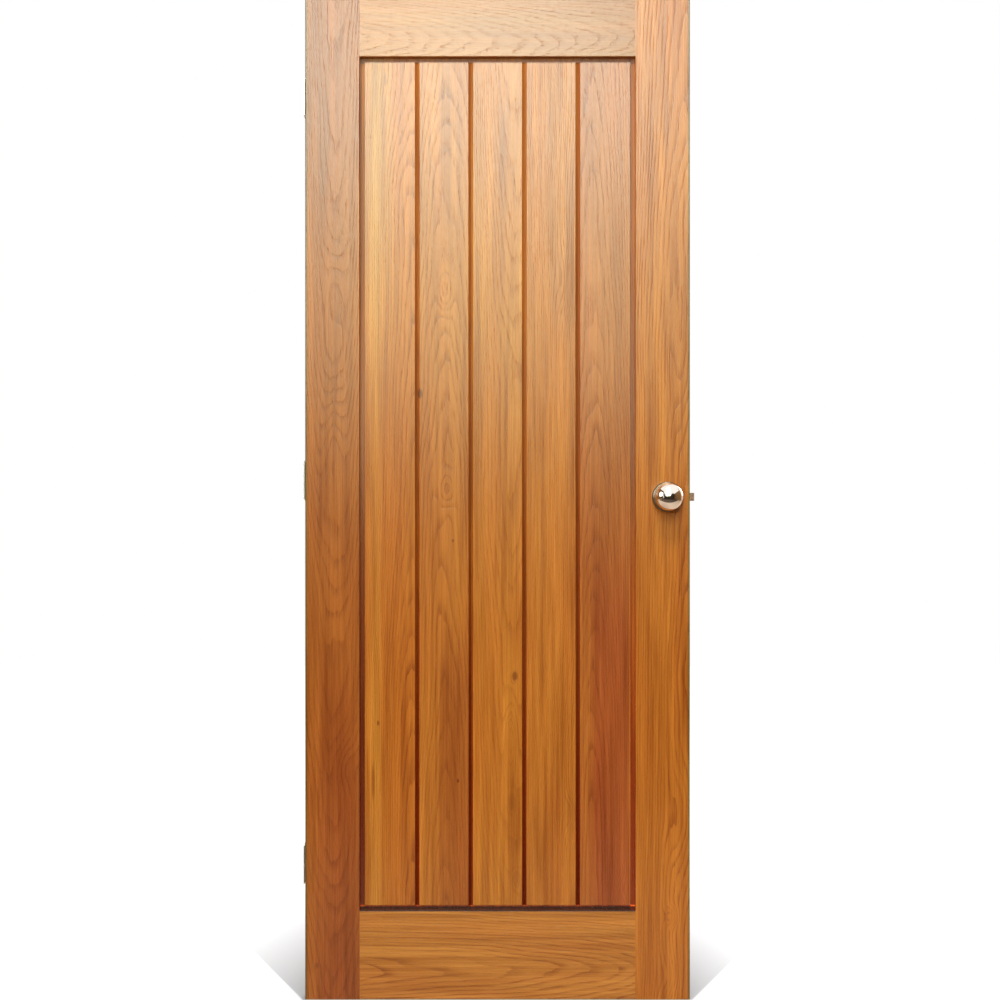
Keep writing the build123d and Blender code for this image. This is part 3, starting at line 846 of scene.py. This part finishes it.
@dataclass(frozen=True)
class Studio:
    """White room with a pale floor and soft lights before, beside and behind the door.

    Dark cards in front give the lacquer and the knob something dark to mirror below the lights, brown
    cards stand at both sides, and a peach one stands behind at the right. The floor shows a painted
    shadow: outside a wedge that starts at shadow_half beside the middle and spreads by shadow_spread it
    glows white to the eye, and inside it the lamps' own shade shows on grey, lightened backwards and
    sideways from shadow_lift.
    """

    eye: Point = (0.0049, -3.5175, 0.9888)
    lens: float = 63.62
    sensor: float = 36.0
    boxes: tuple[SoftBox, ...] = (
        SoftBox("high_light", (-0.12, -4.0, 3.20), (-0.12, 4.0, 3.20), 1.8, 1.7, 7.8, (0.94, 1.17, 1.27)),
        SoftBox("low_light", (-0.12, -4.0, 1.85), (-0.12, 4.0, 1.85), 1.8, 1.0, 3.4, (0.98, 1.16, 0.82)),
        SoftBox("top_light", (-0.1, -2.6, 4.6), (0.0, 0.0, 1.0), 1.4, 0.8, 20.0, (1.0, 0.96, 0.90)),
        SoftBox("side_light", (-3.2, -2.4, 2.2), (0.0, 0.0, 1.1), 1.2, 1.6, 7.5, (1.0, 0.98, 0.90)),
        SoftBox("rear_light", (0.8, 4.0, 2.6), (0.0, 0.0, 1.0), 2.4, 2.0, 7.0),
        SoftBox("right_light", (2.9, 3.4, 2.2), (0.0, 0.0, 1.0), 1.6, 2.0, 7.0),
    )
    fill: float = 0.06
    cards: tuple[Card, ...] = (
        Card(
            "front_card",
            ((-3.0, -5.0, CARD_FOOT), (3.0, -5.0, CARD_FOOT), (3.0, -5.0, 1.55), (-3.0, -5.0, 1.55)),
        ),
        Card("left_wing", ((-3.0, -5.0, 1.55), (-1.0, -5.0, 1.55), (-1.5, -5.0, 2.3), (-3.0, -5.0, 3.6))),
        Card("right_wing", ((1.1, -5.0, 1.55), (3.0, -5.0, 1.55), (3.0, -5.0, 3.6), (1.5, -5.0, 2.2))),
        Card(
            "low_card",
            tuple((x, y, CARD_FOOT) for x, y in ((-3.0, -5.0), (3.0, -5.0), (3.0, -1.3), (-3.0, -1.3))),
        ),
        side_card("left_card", -3.7, -5.0, 1.0, 5.0, BROWN),
        side_card("right_card", 3.0, -5.0, -0.2, 2.6, BROWN),
        side_card("far_card", 4.4, -0.4, 3.6, 4.5, PEACH),
    )
    floor_colour: Colour = (0.60, 0.47, 0.38)
    floor_shown: Colour = (0.27, 0.27, 0.28)
    floor_rough: float = 0.6
    floor_gloss: float = 0.2
    floor_reach: float = 7.0
    floor_level: float = -0.0005
    shadow_half: float = 0.395
    shadow_spread: float = 0.385
    shadow_lift: float = 0.095
    shadow_back: float = 0.67
    shadow_side: float = 1.8
    shadow_soft: float = 0.008
    shadow_front: float = 0.06

    def build(self) -> None:
        """Build the room, its lights and the camera."""
        self.set_camera()
        self.set_world()
        self.lay_floor()
        self.stand_cards()
        for box in self.boxes:
            box.hang()
        bpy.context.scene.view_settings.view_transform = "Standard"
        report.info("studio: %d lights", len(self.boxes))

    def set_camera(self) -> None:
        """Camera square to the door, at half its height."""
        camera = bpy.data.cameras.new("camera")
        camera.lens = self.lens
        camera.sensor_width = self.sensor
        eye = put("camera", camera)
        eye.location = self.eye
        eye.rotation_euler = (math.radians(90.0), 0.0, 0.0)
        bpy.context.scene.camera = eye

    def seen_share(self, nodes: bpy.types.Nodes, links: bpy.types.NodeLinks, glossy: bool) -> Socket:
        """Whether a ray comes from the eye, or from a mirror or glass, and not from soft light.

        Args:
            nodes: the nodes of the material or world.
            links: its links.
            glossy: whether mirrors and glass count too.

        Returns:
            The share's socket, 0 or 1.
        """
        path = nodes.new("ShaderNodeLightPath")
        seen = path.outputs["Is Camera Ray"]
        for name in ("Is Glossy Ray", "Is Transmission Ray") if glossy else ():
            larger = nodes.new("ShaderNodeMath")
            larger.operation = "MAXIMUM"
            links.new(seen, larger.inputs[0])
            links.new(path.outputs[name], larger.inputs[1])
            seen = larger.outputs["Value"]
        return seen

    def set_world(self) -> None:
        """White where the eye or a mirror sees it, and a dimmer white as fill light."""
        world = bpy.data.worlds.new("room")
        bpy.context.scene.world = world
        world.use_nodes = True
        nodes, links = world.node_tree.nodes, world.node_tree.links
        nodes.clear()
        join, output = nodes.new("ShaderNodeMixShader"), nodes.new("ShaderNodeOutputWorld")
        links.new(self.seen_share(nodes, links, True), join.inputs[0])
        for target, strength in zip(join.inputs[1:], (self.fill, 1.0)):
            background = nodes.new("ShaderNodeBackground")
            background.inputs["Color"].default_value = (1.0, 1.0, 1.0, 1.0)
            background.inputs["Strength"].default_value = strength
            links.new(background.outputs[0], target)
        links.new(join.outputs[0], output.inputs["Surface"])

    def stage_sheet(
        self, name: str, corners: Sequence[Point], finish: bpy.types.Material
    ) -> bpy.types.Object:
        """One flat sheet of the room that isn't part of the door.

        Args:
            name: the sheet's name.
            corners: its four corners in order.
            finish: its material.

        Returns:
            The sheet.
        """
        mesh = bpy.data.meshes.new(name)
        mesh.from_pydata(corners, [], [(0, 1, 2, 3)])
        mesh.materials.append(finish)
        sheet = put(name, mesh)
        return sheet

    def lay_floor(self) -> None:
        """Pale floor that reads white to the eye, with a painted shadow wedge spreading back from the door's
        foot, inside which the lamps' real shade shows.
        """
        bench = Bench("floor")
        x, y, _ = bench.split(bench.place)
        # Painted shadow: emission lifts the floor to white for the eye outside a wedge behind the door, and
        # less inside it.
        out = bench.calc("ABSOLUTE", x)
        edge = bench.calc("MULTIPLY_ADD", y, self.shadow_spread, self.shadow_half)
        past = bench.between(bench.calc("SUBTRACT", out, edge), -self.shadow_soft, self.shadow_soft)
        back = bench.calc("MULTIPLY_ADD", y, self.shadow_back, self.shadow_lift)
        side = bench.calc("MULTIPLY_ADD", out, self.shadow_side, -self.shadow_side * self.shadow_half)
        inside = bench.calc("ADD", back, side, clamp=True)
        front = bench.between(y, 0.0, -self.shadow_front)
        lift = bench.calc("MAXIMUM", bench.calc("MAXIMUM", past, front), inside)
        seen = self.seen_share(bench.nodes, bench.links, False)
        bench.coat("Base Color", bench.mix(seen, self.floor_colour, self.floor_shown))
        bench.coat("Roughness", self.floor_rough)
        bench.coat("Specular IOR Level", self.floor_gloss)
        bench.coat("Emission Color", (1.0, 1.0, 1.0))
        bench.coat("Emission Strength", bench.times(seen, lift))
        reach, low = self.floor_reach, self.floor_level
        corners = [(-reach, -reach, low), (reach, -reach, low), (reach, reach, low), (-reach, reach, low)]
        self.stage_sheet("floor", corners, bench.material)

    def stand_cards(self) -> None:
        """Put up the cards, which the camera doesn't see."""
        for card in self.cards:
            bench = Bench(card.name)
            bench.coat("Base Color", card.colour)
            bench.coat("Roughness", card.rough)
            self.stage_sheet(card.name, card.corners, bench.material).visible_camera = False


# The door


def scar(across: float, along: float, half_across: float, half_along: float, stain: float) -> Mark:
    """A small dark scar that leaves the rings alone."""
    return Mark(across, along, half_across, half_along, 0.0, stain)


FRAME_LOOKS: dict[str, OakLook] = {
    "hinge_stile": OakLook(
        1.3, (0.345, 0.098, 0.011), heart_across=-0.327, heart_behind=0.085, lean=-0.045,
        contrast=0.55, wander=0.02, face=0.0175,
        bands=(
            Band(-0.312, 0.045, (0.84, 0.70, 0.80), 0.80, 0.40),
            Band(-0.333, 0.070, (0.88, 0.84, 0.74), 1.30, 1.75),
        ),
        marks=(
            Mark(-0.326, 1.09, 0.022, 0.10, 2.5),
            Mark(-0.322, 1.40, 0.020, 0.07, 2.0),
            Mark(-0.300, 0.46, 0.020, 0.05, 2.2, 0.10),
            scar(-0.358, 0.067, 0.004, 0.006, 0.5),
        ),
    ),
    "lock_stile": OakLook(
        2.9, (0.450, 0.140, 0.013), heart_across=0.385, heart_behind=0.060, lean=0.035,
        contrast=0.75, wander=0.03, ring=0.0042, face=0.0175, figure=1.1,
        marks=(
            Mark(0.366, 1.30, 0.018, 0.16, 3.0),
            Mark(0.345, 0.164, 0.012, 0.018, 3.0),
            Mark(0.341, 0.047, 0.020, 0.040, 2.0),
            Mark(0.362, 0.36, 0.022, 0.10, 3.0),
        ),
    ),
    "top_rail": OakLook(
        4.1, (0.400, 0.148, 0.024), Grain.LEVEL, heart_across=1.90, heart_behind=0.10, lean=0.05,
        middle=0.0, contrast=0.35, wander=0.03, face=0.0175, figure=0.6,
        bands=(Band(1.924, 0.3, (0.86, 0.82, 0.76), -0.15, 0.25),),
    ),
    "bottom_rail": OakLook(
        5.7, (0.465, 0.178, 0.026), Grain.LEVEL, heart_across=0.06, heart_behind=0.055, lean=0.06,
        middle=0.1, contrast=0.7, wander=0.05, ring=0.0048, face=0.0175,
        # Painted shade: a dark line along the top edge of the bottom rail.
        bands=(Band(0.1750, 0.0014, (0.30, 0.20, 0.12)),),
        marks=(Mark(-0.203, 0.156, 0.025, 0.030, 3.0),),
    ),
}

BOARD_LOOKS: dict[str, OakLook] = {
    "board_1": OakLook(
        6.2, (0.450, 0.142, 0.013), heart_across=-0.165, heart_behind=0.055, lean=0.030,
        contrast=0.60, wander=0.02,
        bands=(
            Band(-0.242, 0.012, (1.10, 1.30, 1.5)),
            Band(-0.236, 0.030, (1.04, 1.30, 2.0), 1.10, 1.60),
            # Painted shadow: a dark line where the hinge stile shades the first board.
            Band(-0.2708, 0.0018, (0.55, 0.45, 0.34), 0.95, 1.75),
        ),
        marks=(
            scar(-0.2232, 1.824, 0.003, 0.014, 0.5),
            scar(-0.237, 0.546, 0.003, 0.005, 0.7),
            scar(-0.247, 0.43, 0.003, 0.040, 0.6),
        ),
    ),
    "board_2": OakLook(
        7.9, (0.418, 0.134, 0.014), heart_across=-0.103, heart_behind=0.075, lean=0.032,
        contrast=0.6, wander=0.015,
        bands=(Band(-0.082, 0.036, (0.80, 0.68, 0.74), 0.80, 0.60),),
        marks=(
            Mark(-0.104, 1.404, 0.014, 0.045, 3.5),
            Mark(-0.100, 1.008, 0.014, 0.035, 3.0),
            scar(-0.154, 1.200, 0.005, 0.010, 0.9),
            scar(-0.0885, 0.908, 0.0025, 0.0035, 0.8),
            scar(-0.0785, 0.431, 0.0025, 0.004, 0.8),
        ),
    ),
    "board_3": OakLook(
        9.4, (0.448, 0.150, 0.014), heart_across=0.035, heart_behind=0.090, lean=-0.030,
        contrast=0.42, wander=0.015,
        marks=(
            Mark(0.0344, 0.639, 0.006, 0.010, 3.0, 0.7),
            Mark(0.0270, 0.52, 0.010, 0.060, 3.5),
            Mark(0.0284, 0.3875, 0.008, 0.018, 3.0, 0.2),
            Mark(0.0383, 0.235, 0.008, 0.018, 3.0, 0.2),
        ),
    ),
    "board_4": OakLook(
        11.2, (0.432, 0.139, 0.014), heart_across=0.20, heart_behind=0.05, lean=0.020,
        contrast=0.6, wander=0.02, figure=1.2,
        marks=(
            Mark(0.134, 1.42, 0.016, 0.09, 3.5),
            Mark(0.146, 0.364, 0.012, 0.040, 4.0, 0.15),
        ),
    ),
    "board_5": OakLook(
        12.8, (0.388, 0.112, 0.014), heart_across=0.19, heart_behind=0.060, lean=0.028,
        contrast=0.6, wander=0.02,
        bands=(
            Band(0.226, 0.042, (0.84, 0.64, 0.84), 1.02, 0.70),
            # Painted light on the strip at the right border, which the side light reaches.
            Band(0.2685, 0.006, (2.2, 2.7, 1.8), 1.10, 0.80),
            # Painted shade: a dark line where board 5 meets the lock stile.
            Band(0.2632, 0.0016, (0.62, 0.55, 0.42), 0.90, 1.70),
        ),
        marks=(Mark(0.2424, 0.215, 0.012, 0.030, 3.0),),
    ),
}


@dataclass
class OakLeaf:
    """The frame and boards of the leaf, each cut from its own piece of oak."""

    finish: OakFinish = OakFinish()
    painted_end_shading: tuple[Band, ...] = (
        # Painted shade in the top rebate under the top rail.
        Band(1.8600, 0.0042, (0.55, 0.42, 0.28)),
        # Painted highlight on the boards' lower lip.
        Band(0.1825, 0.0018, (4.2, 5.6, 12.0)),
        # Painted shade in the bottom rebate above the bottom rail.
        Band(0.1785, 0.0028, (0.36, 0.12, 0.04)),
    )

    def build(self) -> None:
        """Give each oak piece its own material, and the dowels theirs.

        The boards' end rebates get painted shade from the end bands, and the boards' lower lip a painted
        highlight.
        """
        boards = {node: replace(look, painted_end_shading=self.painted_end_shading) for node, look in BOARD_LOOKS.items()}
        for node, look in {**FRAME_LOOKS, **boards}.items():
            dress_node(node, self.finish.dress(look, node + "_oak"))
        dress_node("dowels", BeechFinish().dress())


@dataclass(frozen=True)
class WoodScrew:
    """Countersunk wood screw with a cross recess and a cut thread."""

    shank: float
    head: float
    length: float
    pitch: float = 0.0016
    core_share: float = 0.66
    plain_share: float = 0.28
    recess_half_width: float = 0.00045
    recess_half_length: float = 0.00175
    recess_depth: float = 0.0011
    recess_dish: float = 0.35
    head_bevel: float = 0.00012
    thread_steps: int = 84

    def angles(self) -> np.ndarray:
        """Angles round the screw.

        Returns:
            One angle a column, with a column at every corner of the cross recess.
        """
        arm = math.atan2(self.recess_half_width, self.recess_half_length)
        octant = np.concatenate([np.linspace(0.0, arm, 3)[:-1], np.linspace(arm, np.pi / 4, 6)[:-1]])
        quarter = np.concatenate([octant, np.pi / 2 - octant[::-1][:-1], [np.pi / 4]])
        return np.sort(np.concatenate([quarter + turn * np.pi / 2 for turn in range(4)]))

    def head_rows(self) -> tuple[np.ndarray, np.ndarray]:
        """Head face with its recess.

        The recess outline is the larger of two bars' polar radii, each the smaller of half length over
        cosine and half width over sine. Its rows grow from the middle to that outline, rise up the wall,
        and then blend to the head's round edge.

        Returns:
            Radius and height, rows by columns.
        """
        angle = self.angles()
        cosine, sine = np.abs(np.cos(angle)) + 1e-9, np.abs(np.sin(angle)) + 1e-9
        bars = [
            np.minimum(self.recess_half_length / along, self.recess_half_width / side)
            for along, side in ((cosine, sine), (sine, cosine))
        ]
        cross = np.maximum(*bars)
        floor = np.linspace(0.0, 0.86, 4)[:, None]
        rim = np.linspace(0.0, 1.0, 4)[:, None]
        bevel = self.head_bevel
        level = np.zeros((1, len(angle)))
        face = cross + rim * (self.head - bevel - cross)
        radius = np.concatenate([floor * cross, face, level + self.head])
        deep = -self.recess_depth * (1.0 - self.recess_dish * floor)
        height = np.concatenate([deep + level, rim * level, level - bevel])
        return radius, height

    def thread_rows(self) -> tuple[np.ndarray, np.ndarray]:
        """Shank and thread down to the point.

        The radius is the core plus a ridge that is 1 less twice the distance from the thread's crest in
        turns, squared off above a half. The ridge fades in below the plain shank and out at the point.

        Returns:
            Radius and height, rows by columns.
        """
        angle = self.angles()
        below = self.head - self.shank
        plain = below + self.plain_share * self.length
        cut_rows = np.linspace(plain, self.length, self.thread_steps)
        depth = np.concatenate([[below], cut_rows])[:, None]
        turn = depth / self.pitch - angle / (2 * np.pi)
        crest = np.clip(1.6 * (1.0 - 2.0 * np.abs(turn - np.round(turn))) - 0.6, 0.0, 1.0)
        taper = np.clip((self.length - depth) / (2.2 * self.shank), 0.0, 1.0)
        cut = np.clip((depth - plain) / self.pitch, 0.0, 1.0)
        core = self.shank * (1.0 - cut * (1.0 - self.core_share)) * taper
        ridge = (self.shank - self.shank * self.core_share) * crest * cut * np.minimum(2.0 * taper, 1.0)
        return core + ridge, 0 * angle - depth

    def surface(self) -> np.ndarray:
        """The whole screw about Z.

        Returns:
            A grid of points, the head face at height 0 and the point below.
        """
        (head_radius, head_height), (radius, height) = self.head_rows(), self.thread_rows()
        point = np.zeros((1, radius.shape[1]))
        radius = np.concatenate([head_radius, radius[:-1], point])
        height = np.concatenate([head_height, height[:-1], point - self.length])
        return turned(radius, height, self.angles())

    def drive(self, name: str, seats: list[tuple[Point, Point]], body: str, finish: MetalFinish) -> None:
        """Put one screw in each seat, in one piece that stands for the CAD node.

        Args:
            name: the CAD node that the screws stand for.
            seats: the head face's middle and the way the head looks, for each screw.
            body: the CAD body that they ride on.
            finish: their finish.
        """
        skin, blank = Skin(), self.surface()
        for seat, way in seats:
            skin.add(aimed(blank, seat, way))
        piece = skin.make(name + "_threaded", body, finish.dress())
        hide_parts(name)
        report.info("drove %d screws for %s", len(seats), name)


@dataclass
class HingeSet:
    """Three steel butt hinges let into the door's edge."""

    heights: tuple[float, ...] = (1.793, 1.028, 0.263)
    places: tuple[str, ...] = ("top", "middle", "bottom")
    face_x: float = -0.3809
    hole_y: float = 0.0033
    spacing: float = 0.027
    screw: WoodScrew = WoodScrew(0.0019, 0.0036, 0.026)
    leaf_finish: MetalFinish = MetalFinish(
        "hinge_steel", (0.66, 0.64, 0.61), 0.30, 0.10, 0.00002, (70.0, 70.0, 2200.0), edge_wear=0.7
    )
    pin_finish: MetalFinish = MetalFinish(
        "pin_steel", (0.55, 0.53, 0.50), 0.22, 0.08, 0.00001, (2200.0, 2200.0, 90.0)
    )
    screw_finish: MetalFinish = MetalFinish("screw_steel", (0.56, 0.54, 0.50), 0.28, 0.10)

    def build(self) -> None:
        """Dress the leaves and pins, and drive the screws."""
        leaf, pin = self.leaf_finish.dress(), self.pin_finish.dress()
        for place in self.places:
            for half in ("door_leaf", "frame_leaf"):
                dress_node(f"hinge_{place}_{half}", leaf)
            dress_node(f"hinge_{place}_pin", pin)
        rows = [height + step * self.spacing for height in self.heights for step in (-1, 0, 1)]
        seats = [((self.face_x, self.hole_y, z), (-1.0, 0.0, 0.0)) for z in rows]
        self.screw.drive("hinge_screws", seats, "door_leaf", self.screw_finish)


@dataclass
class LatchSet:
    """Tubular latch in the lock stile: case, faceplate, bolt, follower and spring."""

    height: float = 0.995
    edge_x: float = 0.3809
    screw_spacing: float = 0.044
    screw: WoodScrew = WoodScrew(0.0017, 0.0032, 0.018)
    spring_start: float = 0.3492
    spring_end: float = 0.3710
    spring_radius: float = 0.00305
    spring_wire: float = 0.00045
    spring_turns: float = 7.0
    closed_turns: float = 1.0
    closed_advance: float = 2.04
    turn_steps: int = 40
    wire_sides: int = 14
    bolt_throw: float = 0.011
    case_finish: MetalFinish = MetalFinish("latch_zinc", (0.62, 0.61, 0.55), 0.34, 0.12, 0.00002)
    bolt_finish: MetalFinish = MetalFinish(
        "bolt_steel", (0.66, 0.64, 0.61), 0.24, 0.08, 0.00001, (90.0, 1800.0, 1800.0), edge_wear=0.8
    )
    plate_finish: MetalFinish = MetalFinish(
        "plate_steel", (0.70, 0.67, 0.63), 0.16, 0.07, 0.00001, (1800.0, 1800.0, 60.0), edge_wear=0.6
    )
    screw_finish: MetalFinish = MetalFinish("faceplate_screw_steel", (0.62, 0.60, 0.56), 0.22, 0.08)
    spring_finish: MetalFinish = MetalFinish("spring_steel", (0.40, 0.39, 0.38), 0.26, 0.08)

    def build(self) -> None:
        """Dress the latch, drive its screws and wind its spring."""
        case = self.case_finish.dress()
        for node in ("latch_case", "latch_follower"):
            dress_node(node, case)
        dress_node("latch_bolt", self.bolt_finish.dress())
        dress_node("latch_faceplate", self.plate_finish.dress())
        rows = [self.height + step * self.screw_spacing / 2 for step in (-1, 1)]
        seats = [((self.edge_x, 0.0, z), (1.0, 0.0, 0.0)) for z in rows]
        self.screw.drive("faceplate_screws", seats, "door_leaf", self.screw_finish)
        self.wind_spring()

    def wind_spring(self) -> None:
        """Coil spring with closed ends.

        The wire's middle runs round X at the coil's radius. Its advance is one wire a turn in the closed
        turns and even in between, and a circle of the wire's radius is carried along it, square to the
        turn.
        """
        turn = np.linspace(0.0, self.spring_turns, int(self.spring_turns) * self.turn_steps + 1)
        first, last = self.spring_start + self.spring_wire, self.spring_end - self.spring_wire
        closed = self.closed_advance * self.spring_wire * self.closed_turns
        knots = (0.0, self.closed_turns, self.spring_turns - self.closed_turns, self.spring_turns)
        advance = np.interp(turn, knots, (first, first + closed, last - closed, last))
        angle = 2 * np.pi * turn[:, None]
        around = np.linspace(0.0, 2 * np.pi, self.wire_sides, endpoint=False)
        wire = np.full((len(turn), 1), self.spring_wire)
        wire[[0, -1]] = 0.0
        reach = self.spring_radius + wire * np.cos(around)
        along = advance[:, None] + wire * np.sin(around)
        grid = np.stack([along, reach * np.sin(angle), self.height + reach * np.cos(angle)], axis=-1)
        skin = Skin()
        skin.add(grid)
        spring = skin.make("latch_spring_wound", "door_leaf", self.spring_finish.dress())
        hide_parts("latch_spring")
        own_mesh(spring)
        report.info("wound the latch spring")


@dataclass
class KnobSet:
    """Polished knobs and roses on both faces, on one square spindle."""

    across: float = 0.336
    height: float = 0.995
    face: float = 0.0175
    plate: float = 0.0055
    screw_sunk: float = 0.0003
    screw_offset: tuple[float, float] = (0.0095, 0.0165)
    screw: WoodScrew = WoodScrew(0.0017, 0.0032, 0.017)
    bright: MetalFinish = MetalFinish(
        "bright_nickel", (0.99, 0.92, 0.83), 0.07, 0.02, dull=(0.88, 0.79, 0.68)
    )
    # The roses' dark brown is a painted reflection of the wood round them.
    satin: MetalFinish = MetalFinish(
        "rose_brown_painted_reflection", (0.17, 0.11, 0.06), 0.40, 0.05, 0.000005, (60.0, 60.0, 60.0)
    )
    plate_finish: MetalFinish = MetalFinish("rose_plate_zinc", (0.60, 0.59, 0.54), 0.34, 0.12, 0.00002)
    spindle_finish: MetalFinish = MetalFinish(
        "spindle_steel", (0.55, 0.53, 0.50), 0.30, 0.10, 0.00002, (90.0, 1500.0, 90.0), edge_wear=0.4
    )
    grub_finish: MetalFinish = MetalFinish("grub_steel", (0.20, 0.19, 0.18), 0.36, 0.10)
    screw_finish: MetalFinish = MetalFinish("rose_screw_steel", (0.58, 0.56, 0.52), 0.28, 0.10)

    def build(self) -> None:
        """Dress the knobs, roses, plates and spindle, and drive the rose screws."""
        bright, satin, plate = self.bright.dress(), self.satin.dress(), self.plate_finish.dress()
        for face in ("front", "rear"):
            dress_node(face + "_knob", bright)
            dress_node(face + "_rose", satin)
            dress_node(face + "_rose_plate", plate)
        dress_node("spindle", self.spindle_finish.dress())
        dress_node("grub_screws", self.grub_finish.dress())
        seats = []
        for looks in (Face.FRONT.value, Face.REAR.value):
            y = looks * (self.face + self.plate - self.screw_sunk)
            for sx, sz in ((-1, -1), (-1, 1), (1, -1), (1, 1)):
                x, z = self.across + sx * self.screw_offset[0], self.height + sz * self.screw_offset[1]
                seats.append(((x, y, z), (0.0, float(looks), 0.0)))
        self.screw.drive("rose_screws", seats, "door_leaf", self.screw_finish)


def main() -> None:
    """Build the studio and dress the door."""
    logging.basicConfig(level=logging.INFO, format="%(message)s")
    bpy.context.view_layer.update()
    for assembly in (OakLeaf(), HingeSet(), LatchSet(), KnobSet(), Studio()):
        assembly.build()


if __name__ == "__main__":
    main()
